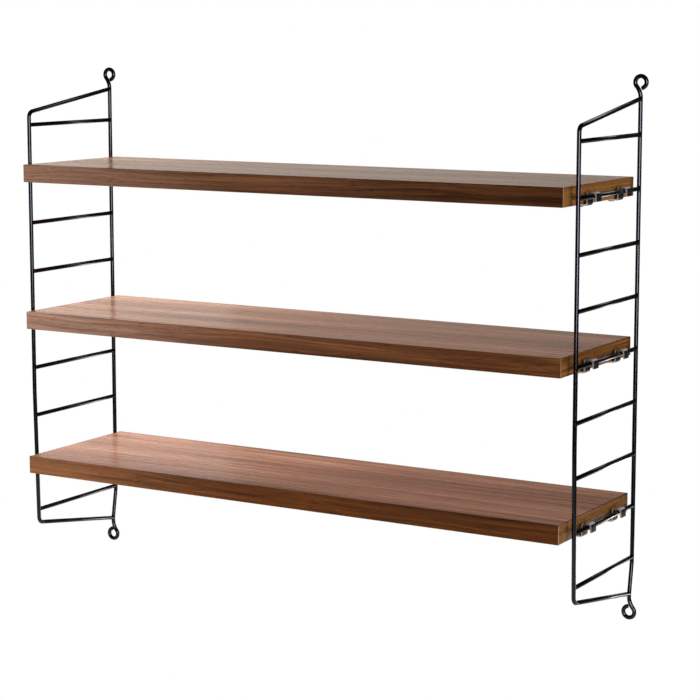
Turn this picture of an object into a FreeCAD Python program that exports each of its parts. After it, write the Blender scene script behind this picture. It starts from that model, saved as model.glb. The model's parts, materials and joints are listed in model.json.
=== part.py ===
import FreeCAD, Part
import math
import os
from FreeCAD import Vector

# Wall shelf: two welded wire ladders that screw to the wall, and three boards that hook onto their rungs.
# Millimetres and degrees. X runs along the boards, the wall is at +Y and Z is up. The origin lies midway
# between the centres of the two upper screw eyes.

# Boards
board_length = 579.0
board_depth = 150.0
core_thickness = 16.0
veneer_thickness = 0.6
edge_thickness = 1.0
edge_easing = 0.4
board_wall_gap = 0.5
board_front_overhang = 17.5
board_under_rung = 6.7
shelf_names = ("upper", "middle", "lower")
rungs_per_shelf = 3

# Ladder wires, with bends measured on the wire's centre line
upright_wire = 4.0
rung_wire = 4.0
rung_pitch = 48.4
weld_sink = 0.5
corner_bend = 6.0
top_arm_front_rise = 12.4
top_arm_rear_rise = 32.0
bottom_arm_front_fall = 13.4
bottom_arm_rear_fall = 34.0
seam_run = 1.5
front_lean = 3.0
lean_bend = 60.0
foot_set = 5.0
foot_start_fall = 5.0
foot_bend = 25.0

# Screw eyes at the ends of the rear uprights
eye_hole = 7.0
eye_flat = 0.1
eye_end_gap = 1.3
neck_lean = 42.0
upper_neck_run = 0.6
lower_neck_run = 3.0

# Hook clips of stamped sheet
clip_sheet = 1.4
clip_width = 15.5
clip_leg_width = 11.0
clip_spacing = 66.0
clip_stand_off = 2.3
clip_bend = 1.0
hook_width = 10.5
hook_clearance = 0.3
hook_relief = 0.8
relief_depth = 1.2
tongue_drop = 4.7
shoulder_drop = 2.2
ear_rise = 3.9
ear_round = 3.4
flange_length = 24.0
flange_round = 3.0

# Wood screws under the clips
screw_shank = 3.0
screw_length = 12.0
screw_point = 3.0
screw_head = 6.4
screw_head_height = 2.0
screw_head_rim = 0.8
screw_clearance = 0.2
screw_first_inset = 6.5
screw_spacing = 11.0

# Heights of the rungs, the arms and the eyes
upright_r = upright_wire / 2
rung_r = rung_wire / 2
rung_count = rungs_per_shelf * len(shelf_names)
lean = math.radians(neck_lean)
eye_r = eye_hole / 2 - eye_flat + upright_r
neck_r = eye_r * math.cos(lean) / (1 - math.cos(lean))
neck_height = (eye_r + neck_r) * math.sin(lean)
first_rung_z = -(neck_height + upper_neck_run + top_arm_rear_rise)
last_rung_z = first_rung_z - (rung_count - 1) * rung_pitch
lower_eye_z = last_rung_z - bottom_arm_rear_fall - lower_neck_run - neck_height
rung_heights = [first_rung_z - step * rung_pitch for step in range(rung_count)]

# Places across the shelf and from the wall
rung_x = board_length / 2 + clip_stand_off + clip_sheet + hook_clearance + rung_r
board_rear_y = upright_r - board_wall_gap
board_front_y = board_rear_y - board_depth
front_wire_y = board_front_y + board_front_overhang
top_corner = Vector(0, front_wire_y, first_rung_z + top_arm_front_rise)
top_arm_root = Vector(0, 0, first_rung_z + top_arm_rear_rise)
lean_start = Vector(0, front_wire_y, rung_heights[-rungs_per_shelf] + rung_pitch / 2)
bottom_corner = Vector(0, front_wire_y + front_lean, last_rung_z - bottom_arm_front_fall)
bottom_arm_root = Vector(0, -foot_set, last_rung_z - bottom_arm_rear_fall)
foot_start = Vector(0, 0, last_rung_z - foot_start_fall)


def straight(start, end):
    return Part.LineSegment(start, end).toShape()


def bend_reach(before, corner, after, radius):
    """Distance from a corner to where its bend starts."""
    return radius / math.tan((before - corner).getAngle(after - corner) / 2)


def bent_run(points, radii):
    """Straight runs through the points, with a tangent bend at each inner point."""
    edges = []
    start = points[0]
    for before, corner, after, radius in zip(points, points[1:], points[2:], radii):
        back = (before - corner).normalize()
        ahead = (after - corner).normalize()
        reach = bend_reach(before, corner, after, radius)
        apex = math.hypot(reach, radius) - radius
        bend_start = corner + back * reach
        bend_end = corner + ahead * reach
        bend_middle = corner + (back + ahead).normalize() * apex
        edges.append(straight(start, bend_start))
        edges.append(Part.Arc(bend_start, bend_middle, bend_end).toShape())
        start = bend_end
    edges.append(straight(start, points[-1]))
    return edges


def round_wire(edges, diameter):
    """Solid round wire along a path of lines and arcs."""
    start = edges[0].valueAt(edges[0].FirstParameter)
    heading = edges[0].tangentAt(edges[0].FirstParameter)
    section = Part.Face(Part.Wire(Part.makeCircle(diameter / 2, start, heading)))
    return Part.Wire(edges).makePipe(section)


def eye_turns(centre, way):
    """Loop and neck of a screw eye, from the wire's cut end to the stem; way is 1 up and -1 down."""
    def at(x, z):
        return centre + Vector(way * x, 0, way * z)

    def on_loop(angle):
        return at(eye_r * math.cos(angle), eye_r * math.sin(angle))

    leave = math.pi + lean
    opening = 2 * math.asin((upright_wire + eye_end_gap) / (2 * eye_r))
    cut_end = leave - 2 * math.pi + opening
    loop = Part.Arc(on_loop(cut_end), on_loop((cut_end + leave) / 2), on_loop(leave))
    neck_middle = at(neck_r * (math.cos(lean / 2) - 1), neck_r * math.sin(lean / 2) - neck_height)
    stem_end = at(0, -neck_height)
    neck = Part.Arc(on_loop(leave), neck_middle, stem_end)
    return [loop.toShape(), neck.toShape()], stem_end


def eye_bore(centre):
    """Round hole that the mandrel leaves in an eye."""
    return Part.makeCylinder(eye_hole / 2, upright_wire, centre - Vector(0, upright_r, 0), Vector(0, 1, 0))


def rear_upright():
    upper_eye = Vector(0, 0, 0)
    lower_eye = Vector(0, -foot_set, lower_eye_z)
    upper_turns, upper_stem = eye_turns(upper_eye, 1)
    lower_turns, lower_stem = eye_turns(lower_eye, -1)
    stem = bent_run([upper_stem, foot_start, bottom_arm_root, lower_stem], [foot_bend, foot_bend])
    upright = round_wire(upper_turns + stem + lower_turns[::-1], upright_wire)
    return upright.cut([eye_bore(upper_eye), eye_bore(lower_eye)])


def weld_end(root, other_end):
    """End of a wire that is welded to the side of an upright whose centre line passes through root."""
    return root + (other_end - root).normalize() * (upright_r - weld_sink)


def bottom_seam():
    """Middle of the butt weld between the bow's lower bend and the bottom arm."""
    reach = bend_reach(lean_start, bottom_corner, bottom_arm_root, corner_bend)
    return bottom_corner + (bottom_arm_root - bottom_corner).normalize() * (reach + seam_run)


def front_bow(upright):
    arm_end = weld_end(top_arm_root, top_corner)
    points = [arm_end, top_corner, lean_start, bottom_corner, bottom_seam()]
    return round_wire(bent_run(points, [corner_bend, lean_bend, corner_bend]), upright_wire).cut(upright)


def bottom_arm(upright):
    run = straight(bottom_seam(), weld_end(bottom_arm_root, bottom_corner))
    return round_wire([run], upright_wire).cut(upright)


def front_wire_at(z):
    """Y of the front wire's centre line at a height."""
    share = max(0.0, (lean_start.z - z) / (lean_start.z - bottom_corner.z))
    return front_wire_y + front_lean * share


def rung(z, upright, bow):
    front_root = Vector(0, front_wire_at(z), z)
    rear_root = Vector(0, 0, z)
    run = straight(weld_end(front_root, rear_root), weld_end(rear_root, front_root))
    return round_wire([run], rung_wire).cut([upright, bow])


def block(low, high):
    size = high - low
    return Part.makeBox(size.x, size.y, size.z, low)


def board_layers(underside):
    """Core, two veneers and four edge bands of a board, cut from one block with eased edges."""
    half = board_length / 2
    inner = half - edge_thickness
    front = board_front_y + edge_thickness
    rear = board_rear_y - edge_thickness
    core_low = underside + veneer_thickness
    core_high = core_low + core_thickness
    top = core_high + veneer_thickness
    whole = block(Vector(-half, board_front_y, underside), Vector(half, board_rear_y, top))
    eased = whole.makeFillet(min(edge_easing, veneer_thickness), whole.Edges)
    spans = {
        "core": (Vector(-inner, front, core_low), Vector(inner, rear, core_high)),
        "top_veneer": (Vector(-inner, front, core_high), Vector(inner, rear, top)),
        "bottom_veneer": (Vector(-inner, front, underside), Vector(inner, rear, core_low)),
        "front_edge": (Vector(-half, board_front_y, underside), Vector(half, front, top)),
        "rear_edge": (Vector(-half, rear, underside), Vector(half, board_rear_y, top)),
        "left_edge": (Vector(-half, front, underside), Vector(-inner, rear, top)),
        "right_edge": (Vector(inner, front, underside), Vector(half, rear, top)),
    }
    return {layer: eased.common(block(low, high)) for layer, (low, high) in spans.items()}


def outline_solid(points, thickness):
    """Straight-sided outline pushed along its normal; a tuple of two points is an arc's middle and end."""
    edges = []
    start = points[0]
    for point in points[1:]:
        if isinstance(point, tuple):
            edges.append(Part.Arc(start, point[0], point[1]).toShape())
            start = point[1]
        else:
            edges.append(straight(start, point))
            start = point
    edges.append(straight(start, points[0]))
    return Part.Face(Part.Wire(edges)).extrude(thickness)


def clip_hook():
    """Cranked strip that goes up from the clip's shoulder, over the rung and down its outer side."""
    inner = rung_r + hook_clearance
    outer = inner + clip_sheet
    centre_x = clip_stand_off + outer
    side = clip_width / 2 - hook_width

    def at(x, z):
        return Vector(centre_x + x, side, board_under_rung + z)

    outline = [
        at(-outer, -shoulder_drop), at(-outer, 0), (at(0, outer), at(outer, 0)), at(outer, -tongue_drop),
        at(inner, -tongue_drop), at(inner, 0), (at(0, inner), at(-inner, 0)), at(-inner, -shoulder_drop),
    ]
    return outline_solid(outline, Vector(0, hook_width, 0))


def clip_ear():
    """Upright plate beside the hook, with a rounded front corner and a relief slit next to the hook."""
    front = -clip_width / 2
    ear_end = clip_width / 2 - hook_width - hook_relief
    top = board_under_rung + ear_rise
    relief = board_under_rung - relief_depth
    shoulder = board_under_rung - shoulder_drop
    turn = ear_round * (1 - math.sqrt(0.5))

    def at(y, z):
        return Vector(clip_stand_off, y, z)

    outline = [
        at(front, shoulder), at(clip_width / 2, shoulder), at(clip_width / 2, relief), at(ear_end, relief),
        at(ear_end, top), at(front + ear_round, top),
        (at(front + turn, top - turn), at(front, top - ear_round)),
    ]
    return outline_solid(outline, Vector(clip_sheet, 0, 0))


def clip_leg():
    """Strip from the shoulder down past the board's edge, bent inwards under it."""
    outer_bend = clip_bend + clip_sheet
    bend_x = clip_stand_off - clip_bend
    diagonal = math.sqrt(0.5)
    shoulder = board_under_rung - shoulder_drop

    def at(x, z):
        return Vector(x, -clip_width / 2, z)

    outer_middle = at(bend_x + outer_bend * diagonal, clip_bend - outer_bend * diagonal)
    inner_middle = at(bend_x + clip_bend * diagonal, clip_bend - clip_bend * diagonal)
    outline = [
        at(0, 0), at(0, -clip_sheet), at(bend_x, -clip_sheet),
        (outer_middle, at(bend_x + outer_bend, clip_bend)), at(clip_stand_off + clip_sheet, shoulder),
        at(clip_stand_off, shoulder), at(clip_stand_off, clip_bend), (inner_middle, at(bend_x, 0)),
    ]
    return outline_solid(outline, Vector(0, clip_leg_width, 0))


def clip_flange(holes):
    """Plate that the screws hold against the underside of the board."""
    plate = block(Vector(-flange_length, -clip_width / 2, -clip_sheet), Vector(0, clip_width / 2, 0))
    upright_edges = [edge for edge in plate.Edges if edge.tangentAt(0).z]
    corners = [edge for edge in upright_edges if edge.CenterOfMass.x < -flange_length / 2]
    return plate.makeFillet(flange_round, corners).cut(holes)


def clip_screw_places():
    """Where the screws of a clip enter the board's underside."""
    insets = (screw_first_inset, screw_first_inset + screw_spacing)
    return [Vector(-inset, 0, 0) for inset in insets]


def hook_clip():
    """Clip for the right-hand end, from the lower edge of the board's end at the middle of the clip."""
    hole_r = screw_shank / 2 + screw_clearance
    sink = Vector(0, 0, clip_sheet)
    holes = [Part.makeCylinder(hole_r, clip_sheet, place - sink) for place in clip_screw_places()]
    return clip_flange(holes).fuse([clip_leg(), clip_ear(), clip_hook()]).removeSplitter()


def wood_screw():
    """Pan-head screw, from the point where it enters the board."""
    shank_r = screw_shank / 2
    head_r = screw_head / 2
    seat = -clip_sheet
    rim = seat - screw_head_rim
    crown = seat - screw_head_height
    crown_rise = rim - crown
    crown_r = (head_r ** 2 + crown_rise ** 2) / (2 * crown_rise)
    half_turn = math.asin(head_r / crown_r) / 2
    shank_end = screw_length - clip_sheet - screw_point

    def at(r, z):
        return Vector(r, 0, z)

    crown_middle = at(crown_r * math.sin(half_turn), crown + crown_r * (1 - math.cos(half_turn)))
    edges = [
        straight(at(0, crown), at(0, shank_end + screw_point)),
        straight(at(0, shank_end + screw_point), at(shank_r, shank_end)),
        straight(at(shank_r, shank_end), at(shank_r, seat)),
        straight(at(shank_r, seat), at(head_r, seat)),
        straight(at(head_r, seat), at(head_r, rim)),
        Part.Arc(at(head_r, rim), crown_middle, at(0, crown)).toShape(),
    ]
    return Part.Face(Part.Wire(edges)).revolve(Vector(0, 0, 0), Vector(0, 0, 1), 360)


def placed(shape, corner, turned):
    """Copy of a right-hand shape at a board's end, turned half round for the left-hand end."""
    copy = shape.copy()
    if turned:
        copy.rotate(Vector(0, 0, 0), Vector(0, 0, 1), 180)
    copy.translate(corner)
    return copy


def clip_corners(underside):
    """Place and turn of each clip of a shelf, by side and row."""
    middle_y = front_wire_y / 2
    rows = {"front": middle_y - clip_spacing / 2, "rear": middle_y + clip_spacing / 2}
    sides = {"left": -board_length / 2, "right": board_length / 2}
    return {
        side + "_" + row: (Vector(x, y, underside), side == "left")
        for side, x in sides.items() for row, y in rows.items()
    }


def ladder_pieces():
    """Wires of one ladder, in the plane X = 0."""
    upright = rear_upright()
    bow = front_bow(upright)
    pieces = {"rear_upright": upright, "front_bow": bow, "bottom_arm": bottom_arm(upright)}
    for number, z in enumerate(rung_heights, start=1):
        pieces["rung_" + str(number)] = rung(z, upright, bow)
    return pieces


def shelf_pieces(shelf, rung_z):
    """Board layers, clips and screws of one shelf."""
    underside = rung_z - board_under_rung
    clip = hook_clip()
    screw = wood_screw()
    screws = []
    pieces = {}
    for name, (corner, turned) in clip_corners(underside).items():
        pieces[shelf + "_" + name + "_clip"] = placed(clip, corner, turned)
        for place in clip_screw_places():
            screws.append(placed(screw.translated(place), corner, turned))
    for layer, shape in board_layers(underside).items():
        bored = shape.cut(screws) if layer in ("core", "bottom_veneer") else shape
        pieces[shelf + "_shelf_" + layer] = bored
    pieces[shelf + "_shelf_clip_screws"] = Part.makeCompound(screws)
    return pieces


nodes = {}
for side, ladder_x in (("left", -rung_x), ("right", rung_x)):
    for name, shape in ladder_pieces().items():
        nodes[side + "_" + name] = shape.translated(Vector(ladder_x, 0, 0))
for order, shelf in enumerate(shelf_names):
    nodes.update(shelf_pieces(shelf, rung_heights[1 + order * rungs_per_shelf]))

os.makedirs("parts", exist_ok=True)
for name, shape in nodes.items():
    shape.exportStep("parts/" + name + ".step")
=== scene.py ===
# Wall shelf: two welded wire ladders that hang on a wall by screw eyes, and three veneered boards whose
# clips hook over the rungs. All lengths in this script are metres; mm turns a size in millimetres into one.
import json
import math

import bmesh
import bpy
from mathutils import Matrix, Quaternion, Vector

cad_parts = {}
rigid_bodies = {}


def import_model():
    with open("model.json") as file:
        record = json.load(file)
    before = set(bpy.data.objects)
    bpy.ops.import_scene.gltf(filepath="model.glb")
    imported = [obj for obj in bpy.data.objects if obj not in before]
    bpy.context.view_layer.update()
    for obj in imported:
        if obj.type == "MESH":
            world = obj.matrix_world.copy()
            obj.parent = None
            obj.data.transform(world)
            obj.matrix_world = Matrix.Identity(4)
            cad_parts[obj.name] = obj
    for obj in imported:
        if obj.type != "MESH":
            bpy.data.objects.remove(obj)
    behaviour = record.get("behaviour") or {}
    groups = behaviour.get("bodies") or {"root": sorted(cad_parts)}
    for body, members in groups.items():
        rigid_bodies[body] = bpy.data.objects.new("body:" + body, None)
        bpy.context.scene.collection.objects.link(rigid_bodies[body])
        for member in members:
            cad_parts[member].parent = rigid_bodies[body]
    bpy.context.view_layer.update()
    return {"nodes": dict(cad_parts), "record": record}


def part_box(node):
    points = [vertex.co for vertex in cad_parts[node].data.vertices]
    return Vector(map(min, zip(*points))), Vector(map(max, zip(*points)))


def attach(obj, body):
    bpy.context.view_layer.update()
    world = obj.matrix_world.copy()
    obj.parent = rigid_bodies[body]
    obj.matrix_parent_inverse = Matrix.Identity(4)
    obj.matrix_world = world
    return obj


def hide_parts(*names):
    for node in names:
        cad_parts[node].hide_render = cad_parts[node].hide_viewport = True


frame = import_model()


# Rear uprights
# Each is one length of 4 mm steel wire that stands against the wall. Its ends are curled round a pin into
# screw eyes and its foot is kinked forward. The rungs and arms are welded to it, then the whole ladder is
# powder coated.
mm = 0.001
sides = ("left", "right")
rung_count = 9
rung_steps = range(1, rung_count + 1)
rung_boxes = {(side, step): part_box(f"{side}_rung_{step}") for side in sides for step in rung_steps}
wire_r = (rung_boxes["left", 1][1].x - rung_boxes["left", 1][0].x) / 2
ladder_x = {side: (rung_boxes[side, 1][0].x + rung_boxes[side, 1][1].x) / 2 for side in sides}
rung_z = {step: (rung_boxes["left", step][0].z + rung_boxes["left", step][1].z) / 2 for step in rung_steps}
mounts = {mount["name"]: mount for mount in frame["record"]["mounts"]}
upper_eye = Vector(mounts["upper_wall_eyes"]["pos_m"])
lower_eye = Vector(mounts["lower_wall_eyes"]["pos_m"])
eye_hole_r = mounts["upper_wall_eyes"]["dims"]["hole_r_mm"] * mm
eye_flat = 0.1 * mm
eye_gap = 1.3 * mm
neck_lean = math.radians(42)
eye_r = eye_hole_r - eye_flat + wire_r
neck_r = eye_r * math.cos(neck_lean) / (1 - math.cos(neck_lean))
neck_height = (eye_r + neck_r) * math.sin(neck_lean)
foot_start_fall = 5 * mm
foot_bend = 25 * mm
lower_neck_run = 3 * mm
cut_chamfer = 0.35 * mm
bend_step = math.radians(6)
wire_sides = 28
merge_gap = 0.002 * mm


def linear(code):
    """Scene-linear colour, with alpha, of an sRGB hex value."""
    parts = [int(code[at:at + 2], 16) / 255 for at in (1, 3, 5)]
    return [part / 12.92 if part <= 0.04045 else ((part + 0.055) / 1.055) ** 2.4 for part in parts] + [1]


def add_node(tree, kind, settings=None, sockets=None):
    """Add a node with its settings; a socket is given a value or linked to another node's output."""
    node = tree.nodes.new(kind)
    for name, value in (settings or {}).items():
        setattr(node, name, value)
    for name, value in (sockets or {}).items():
        if isinstance(value, bpy.types.NodeSocket):
            tree.links.new(value, node.inputs[name])
        else:
            node.inputs[name].default_value = value
    return node


def new_material(name):
    """Material with its tree, its surface shader and the coordinates that its patterns lie in."""
    material = bpy.data.materials.new(name)
    material.use_nodes = True
    tree = material.node_tree
    place = add_node(tree, "ShaderNodeTexCoord").outputs["Object"]
    return material, tree, tree.nodes["Principled BSDF"], place


def new_tree(name, inputs):
    """Geometry Nodes group with named inputs and one geometry output."""
    tree = bpy.data.node_groups.new(name, "GeometryNodeTree")
    for label, kind in inputs.items():
        tree.interface.new_socket(label, in_out="INPUT", socket_type="NodeSocket" + kind)
    tree.interface.new_socket("Result", in_out="OUTPUT", socket_type="NodeSocketGeometry")
    return tree, add_node(tree, "NodeGroupInput")


def grow(obj, tree, values):
    """Run a tree on an object and keep what it makes as the object's plain mesh."""
    modifier = obj.modifiers.new(tree.name, "NODES")
    modifier.node_group = tree
    for item in tree.interface.items_tree:
        if item.in_out == "INPUT" and item.name in values:
            modifier[item.identifier] = values[item.name]
    settled(obj)


def settled(obj):
    """Turn an object's modifiers into plain mesh, with doubles merged and faces pointing outwards."""
    graph = bpy.context.evaluated_depsgraph_get()
    mesh = bpy.data.meshes.new_from_object(obj.evaluated_get(graph), depsgraph=graph)
    obj.modifiers.clear()
    obj.data = mesh
    mesh.name = obj.name
    shell = bmesh.new()
    shell.from_mesh(mesh)
    bmesh.ops.remove_doubles(shell, verts=shell.verts, dist=merge_gap)
    bmesh.ops.recalc_face_normals(shell, faces=shell.faces)
    shell.to_mesh(mesh)
    shell.free()


def new_object(name, verts, edges=(), faces=()):
    """Mesh object in the scene, at the origin."""
    mesh = bpy.data.meshes.new(name)
    mesh.from_pydata([tuple(vert) for vert in verts], edges, faces)
    obj = bpy.data.objects.new(name, mesh)
    bpy.context.scene.collection.objects.link(obj)
    return obj


def bend(centre, start, end):
    """Points of a round bend about a centre, every few degrees."""
    turn = (start - centre).rotation_difference(end - centre)
    steps = max(2, math.ceil(turn.angle / bend_step))
    return [centre + Quaternion().slerp(turn, step / steps) @ (start - centre) for step in range(steps + 1)]


def bent_line(corners, radii):
    """Centre line of a wire through its corners, with a round bend at each inner one."""
    line = [corners[0]]
    for before, corner, after, radius in zip(corners, corners[1:], corners[2:], radii):
        back, ahead = (before - corner).normalized(), (after - corner).normalized()
        half = back.angle(ahead) / 2
        reach = radius / math.tan(half)
        centre = corner + (back + ahead).normalized() * radius / math.sin(half)
        line += bend(centre, corner + back * reach, corner + ahead * reach)
    return line + [corners[-1]]


def eye_line(centre, way):
    """Centre line of a screw eye from cut end to stem; way is 1 for an upper eye and -1 for a lower one."""
    leave = math.pi + neck_lean
    first = leave - 2 * math.pi + 2 * math.asin((2 * wire_r + eye_gap) / (2 * eye_r))
    steps = math.ceil((leave - first) / bend_step)
    turns = [first + (leave - first) * step / steps for step in range(steps + 1)]
    line = [centre + way * eye_r * Vector((math.cos(turn), 0, math.sin(turn))) for turn in turns]
    stem = centre - way * Vector((0, 0, neck_height))
    return line + bend(stem - way * Vector((neck_r, 0, 0)), line[-1], stem)[1:]


def wires(name, lines):
    """Coated round wires along centre lines, as one mesh, with the arris of each cut end taken off."""
    verts, edges, swell = [], [], []
    for line in lines:
        first = line[0] + (line[1] - line[0]).normalized() * cut_chamfer
        last = line[-1] + (line[-2] - line[-1]).normalized() * cut_chamfer
        line = [line[0], first, *line[1:-1], last, line[-1]]
        edges += [(len(verts) + at, len(verts) + at + 1) for at in range(len(line) - 1)]
        verts += line
        swell += [1 - cut_chamfer / wire_r] + [1] * (len(line) - 2) + [1 - cut_chamfer / wire_r]
    obj = new_object(name, verts, edges)
    obj.data.attributes.new("swell", "FLOAT", "POINT").data.foreach_set("value", swell)
    grow(obj, wire_tree, {"Wire radius": wire_r, "Sides": wire_sides, "Finish": powder_coat})
    for face in obj.data.polygons:
        face.use_smooth = len(face.vertices) == 4
    return obj


wire_tree, given = new_tree("wire_along_line", {
    "Line": "Geometry", "Wire radius": "Float", "Sides": "Int", "Finish": "Material"})
swell = add_node(wire_tree, "GeometryNodeInputNamedAttribute", {"data_type": "FLOAT"}, {"Name": "swell"})
line = add_node(wire_tree, "GeometryNodeMeshToCurve", None, {"Mesh": given.outputs["Line"]})
section = add_node(wire_tree, "GeometryNodeCurvePrimitiveCircle", {"mode": "RADIUS"}, {
    "Resolution": given.outputs["Sides"], "Radius": given.outputs["Wire radius"]})
tube = add_node(wire_tree, "GeometryNodeCurveToMesh", None, {
    "Curve": line.outputs["Curve"], "Profile Curve": section.outputs["Curve"],
    "Scale": swell.outputs["Attribute"], "Fill Caps": True})
whole = add_node(wire_tree, "GeometryNodeRealizeInstances", None, {"Geometry": tube.outputs["Mesh"]})
coated = add_node(wire_tree, "GeometryNodeSetMaterial", None, {
    "Geometry": whole.outputs["Geometry"], "Material": given.outputs["Finish"]})
add_node(wire_tree, "NodeGroupOutput", None, {"Result": coated.outputs["Geometry"]})

# Black polyester powder coat, baked on steel wire: nearly black, satin, with a faint orange peel about
# 0.7 mm across that breaks up the edges of its highlights
powder_coat, tree, shader, place = new_material("black_powder_coat")
shader.inputs["Specular IOR Level"].default_value = 0.3
peel = add_node(tree, "ShaderNodeTexNoise", None, {"Vector": place, "Scale": 1 / (0.7 * mm), "Detail": 2})
cloud = add_node(tree, "ShaderNodeTexNoise", None, {"Vector": place, "Scale": 1 / (18 * mm), "Detail": 3})
tint = add_node(tree, "ShaderNodeValToRGB", None, {"Fac": cloud.outputs["Fac"]})
tint.color_ramp.elements[0].position = 0.3
tint.color_ramp.elements[0].color = linear("#020203")
tint.color_ramp.elements[1].position = 0.7
tint.color_ramp.elements[1].color = linear("#060608")
satin = add_node(tree, "ShaderNodeMapRange", None, {
    "Value": cloud.outputs["Fac"], "From Min": 0.3, "From Max": 0.7, "To Min": 0.15, "To Max": 0.19})
relief = add_node(tree, "ShaderNodeBump", None, {
    "Strength": 0.005, "Distance": 0.03 * mm, "Height": peel.outputs["Fac"]})
tree.links.new(tint.outputs["Color"], shader.inputs["Base Color"])
tree.links.new(satin.outputs["Result"], shader.inputs["Roughness"])
tree.links.new(relief.outputs["Normal"], shader.inputs["Normal"])

bottom_arm_root = lower_eye + Vector((0, 0, lower_neck_run + neck_height))
for side in sides:
    across = Vector((ladder_x[side], 0, 0))
    upper_turns = eye_line(upper_eye + across, 1)
    lower_turns = eye_line(lower_eye + across, -1)
    foot_start = across + Vector((0, 0, rung_z[rung_count] - foot_start_fall))
    stem_corners = [upper_turns[-1], foot_start, bottom_arm_root + across, lower_turns[-1]]
    stem = bent_line(stem_corners, [foot_bend, foot_bend])
    upright = wires(f"{side}_rear_wire", [upper_turns + stem[1:-1] + lower_turns[::-1]])
    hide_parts(f"{side}_rear_upright")
    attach(upright, "ladders")


# Front bows and bottom arms
# The top arm, front upright and lower bend are one wire, leaning back a little over its lowest part. A
# straight arm is butt welded to the lower bend, which leaves a small notch. The top arm slopes up to the
# rear upright and the bottom arm slopes down to it.
corner_bend = 6 * mm
lean_bend = 60 * mm
front_lean = 3 * mm
lean_rung = 6
top_arm_front_rise = 12.4 * mm
top_arm_rear_rise = 32 * mm
bottom_arm_front_fall = 13.4 * mm
seam_run = 1.5 * mm
weld_reach = 0.9 * mm
rung_sink = 0.5 * mm
front_y = rung_boxes["left", 1][0].y - (wire_r - rung_sink)
top_arm_root = Vector((0, 0, rung_z[1] + top_arm_rear_rise))
top_corner = Vector((0, front_y, rung_z[1] + top_arm_front_rise))
lean_start = Vector((0, front_y, (rung_z[lean_rung] + rung_z[lean_rung + 1]) / 2))
bottom_corner = Vector((0, front_y + front_lean, rung_z[rung_count] - bottom_arm_front_fall))


def front_wire_y(z):
    """Y of the front wire's centre at a height."""
    return front_y + front_lean * max(0, (lean_start.z - z) / (lean_start.z - bottom_corner.z))


corner_half = (lean_start - bottom_corner).angle(bottom_arm_root - bottom_corner) / 2
arm_way = (bottom_arm_root - bottom_corner).normalized()
seam = bottom_corner + arm_way * (corner_bend / math.tan(corner_half) + seam_run)
for side in sides:
    across = Vector((ladder_x[side], 0, 0))
    top_end = top_arm_root + (top_corner - top_arm_root).normalized() * weld_reach
    bow_corners = [corner + across for corner in (top_end, top_corner, lean_start, bottom_corner, seam)]
    bow = wires(f"{side}_bow_wire", [bent_line(bow_corners, [corner_bend, lean_bend, corner_bend])])
    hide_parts(f"{side}_front_bow")
    arm = wires(f"{side}_arm_wire", [[seam + across, bottom_arm_root + across - arm_way * weld_reach]])
    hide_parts(f"{side}_bottom_arm")
    for piece in (bow, arm):
        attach(piece, "ladders")


# Rungs
# Nine straight wires on each side are resistance welded between the bow and the rear upright, at even
# spacing. Every third one carries a board. Their ends sink a little into the uprights.
for side in sides:
    lines = []
    for step in rung_steps:
        front = Vector((ladder_x[side], front_wire_y(rung_z[step]) + weld_reach, rung_z[step]))
        lines.append([front, Vector((ladder_x[side], -weld_reach, rung_z[step]))])
    rungs = wires(f"{side}_rungs", lines)
    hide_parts(*[f"{side}_rung_{step}" for step in rung_steps])
    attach(rungs, "ladders")


# Weld fillets
# Where a rung or arm meets an upright, the metal pressed out by the weld leaves a small hollow fillet above
# and below the joint, under the same powder coat. It all but runs out at the sides, where the two wires are
# level.
fillet_size = 1.1 * mm
fillet_side_share = 0.12
fillet_fade = 1.5
fillet_root_share = 0.7
fillet_root_depth = 0.6 * mm
fillet_steps = 32
hollow_steps = 4


def fillet_ring():
    """Closed ring round a wire along +Y at a wire along Z; its section is a hollow fillet buried behind."""
    verts, faces = [], []
    for step in range(fillet_steps):
        turn = 2 * math.pi * step / fillet_steps
        x, z = wire_r * math.cos(turn), wire_r * math.sin(turn)
        fade = abs(math.sin(turn)) ** fillet_fade
        size = fillet_size * (fillet_side_share + (1 - fillet_side_share) * fade)
        joint = Vector((x, abs(z), z))
        on_rung = joint + Vector((0, size, 0))
        rise = math.copysign(size, z) if abs(z) > 1e-9 else 0
        on_upright = joint + Vector((0, 0, rise))
        for at in range(hollow_steps + 1):
            share = at / hollow_steps
            verts.append(on_rung.lerp(joint, share).lerp(joint.lerp(on_upright, share), share))
        root_y = max(abs(z) - fillet_root_depth, 0)
        verts.append(Vector((x * fillet_root_share, root_y, z * fillet_root_share)))
    ring = hollow_steps + 2
    for step in range(fillet_steps):
        after = (step + 1) % fillet_steps
        for at in range(ring):
            beside = (at + 1) % ring
            faces.append((step * ring + at, step * ring + beside, after * ring + beside, after * ring + at))
    return verts, faces


fillet_tree, given = new_tree("fillets_at_joints", {
    "Joints": "Geometry", "Fillet": "Object", "Finish": "Material"})
aim = add_node(fillet_tree, "GeometryNodeInputNamedAttribute", {"data_type": "FLOAT_VECTOR"}, {
    "Name": "aim"})
facing = add_node(fillet_tree, "FunctionNodeEulerToRotation", None, {"Euler": aim.outputs["Attribute"]})
shape = add_node(fillet_tree, "GeometryNodeObjectInfo", None, {"Object": given.outputs["Fillet"]})
copies = add_node(fillet_tree, "GeometryNodeInstanceOnPoints", None, {
    "Points": given.outputs["Joints"], "Instance": shape.outputs["Geometry"],
    "Rotation": facing.outputs["Rotation"]})
whole = add_node(fillet_tree, "GeometryNodeRealizeInstances", None, {
    "Geometry": copies.outputs["Instances"]})
coated = add_node(fillet_tree, "GeometryNodeSetMaterial", None, {
    "Geometry": whole.outputs["Geometry"], "Material": given.outputs["Finish"]})
add_node(fillet_tree, "NodeGroupOutput", None, {"Result": coated.outputs["Geometry"]})

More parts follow.
